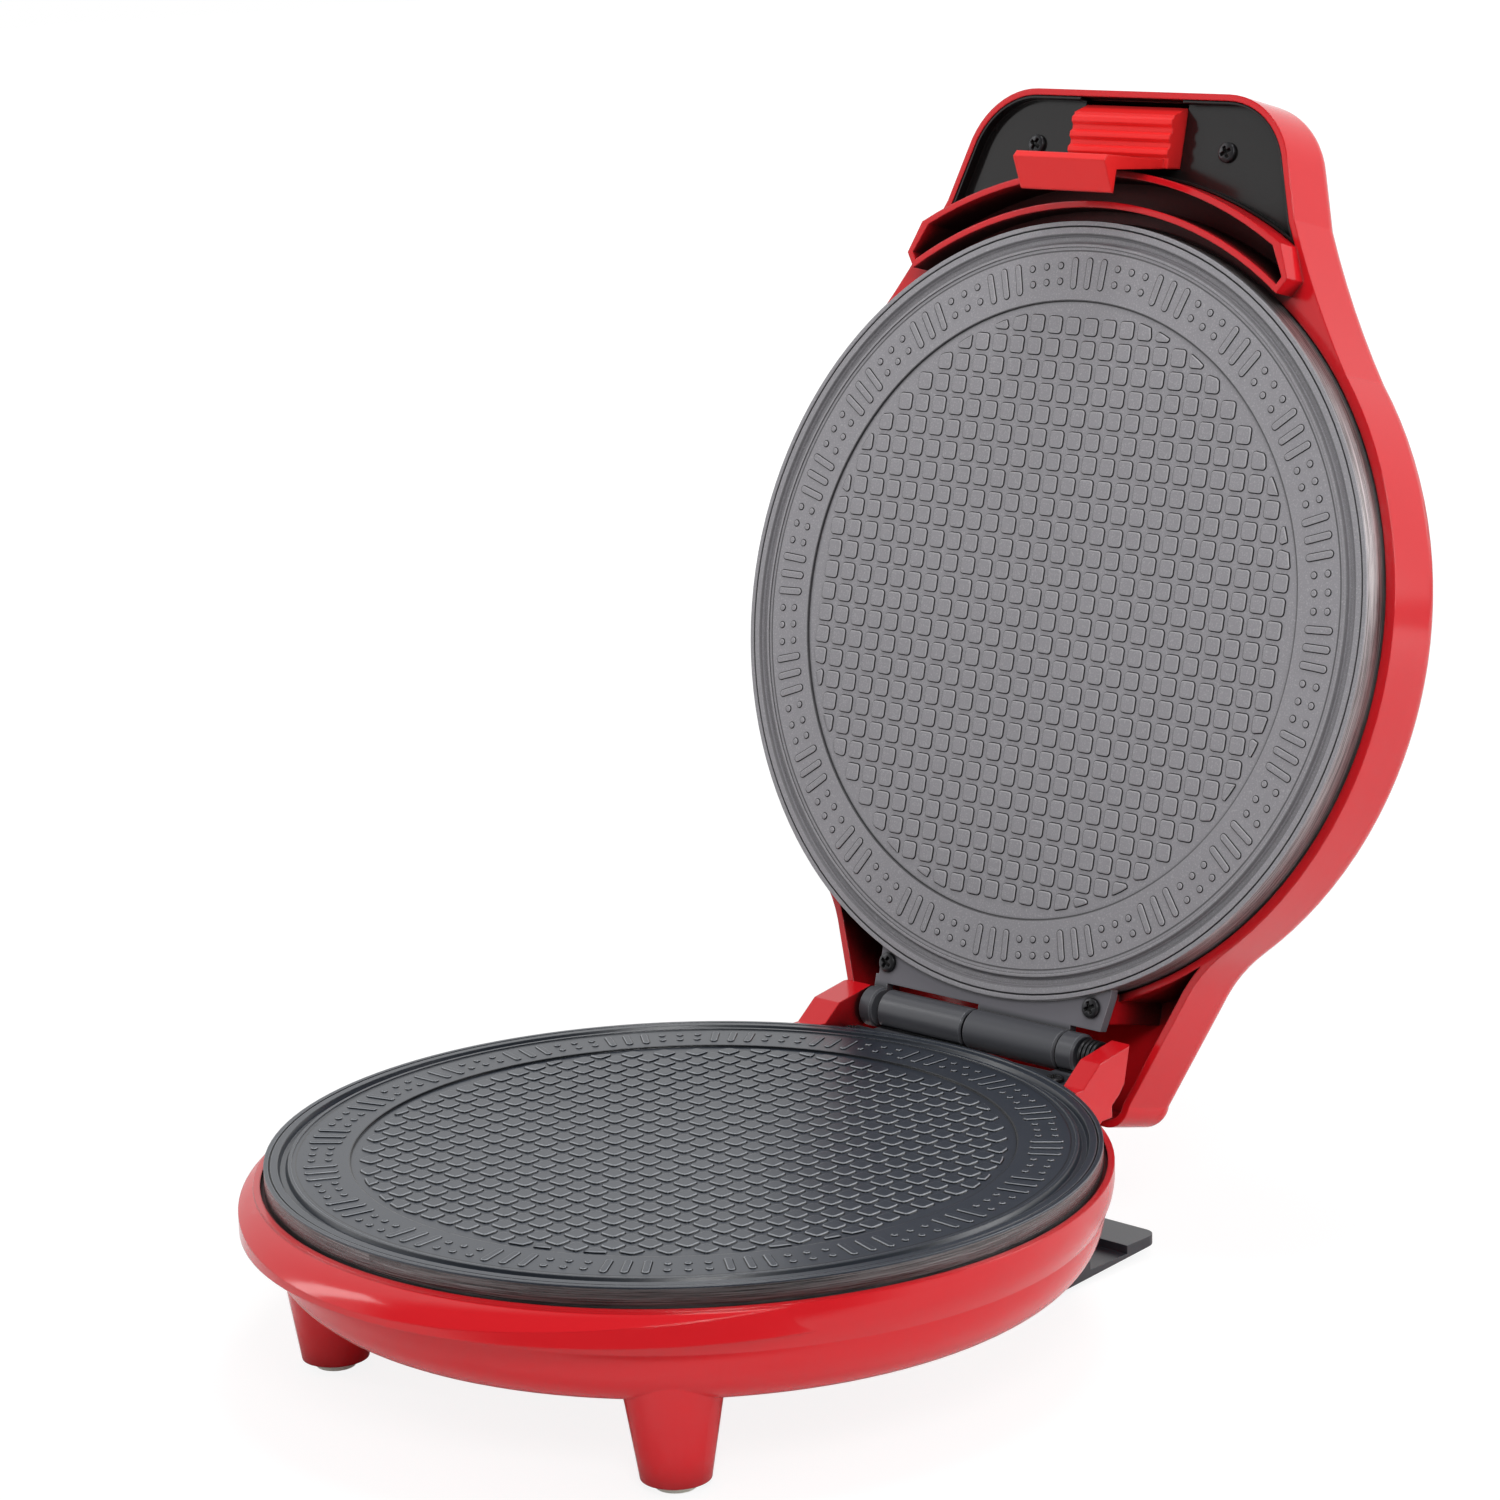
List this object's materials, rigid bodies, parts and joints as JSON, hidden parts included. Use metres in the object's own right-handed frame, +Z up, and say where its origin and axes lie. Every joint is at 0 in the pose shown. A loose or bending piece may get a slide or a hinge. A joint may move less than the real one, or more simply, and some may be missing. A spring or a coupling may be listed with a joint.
{
  "type": "hinged electric waffle and flatbread cooker",
  "caption": "Round countertop cooker with two patterned non-stick plates, a hinged lid with a latching handle, two front feet and a low rear stand.",
  "frame": {"origin": "on the floor, at the middle of the open object's outer box", "axes": "+X along the hinge to the right seen from the front, +Y to the hinge at the back, +Z up"},
  "size_m": [0.314, 0.46, 0.4392],
  "materials": {
    "red_shell": "gloss",
    "red_latch": "satin",
    "coated_plate": "non-stick coating, matte",
    "sheath_steel": "satin",
    "shield": "bright",
    "black_screw": "blackened",
    "foot_rubber": "matte",
    "black_plastic": "satin",
    "pin_steel": "satin",
    "gloss_black": "gloss",
    "red_lens": "gloss",
    "green_lens": "gloss"
  },
  "bodies": {
    "base": {"base_shell": "red_shell", "lower_plate": "coated_plate", "lower_heating_element": "sheath_steel", "lower_heat_shield": "shield", "lower_flange_screws": "black_screw", "lower_plate_screws": "black_screw", "front_foot_tips": "foot_rubber", "rear_stand": "black_plastic", "rear_stand_pads": "foot_rubber", "rear_stand_screws": "black_screw", "thermostat": "sheath_steel", "thermal_fuse": "sheath_steel", "terminal_block": "black_plastic", "cord_gland": "black_plastic", "hinge_pin": "pin_steel", "hinge_spring": "pin_steel"},
    "lid": {"lid_shell": "red_shell", "upper_plate": "coated_plate", "upper_heating_element": "sheath_steel", "upper_heat_shield": "shield", "upper_flange_screws": "black_screw", "handle_panel": "gloss_black", "handle_panel_screws": "black_screw", "power_light_lens": "red_lens", "ready_light_lens": "green_lens", "latch_pin": "pin_steel", "latch_spring": "pin_steel"},
    "latch": {"latch": "red_latch"}
  },
  "joints": [
    {"name": "lid_hinge", "type": "hinge", "parent": "base", "child": "lid", "pos_m": [0, 0.10261, 0.0814], "axis": [1, 0, 0], "range_deg": [0, 104]},
    {"name": "latch_pivot", "type": "hinge", "parent": "lid", "child": "latch", "pos_m": [0, 0.2063, 0.4208], "axis": [-1, 0, 0], "range_deg": [0, 12], "stiffness_Nm_per_rad": 0.08}
  ]
}
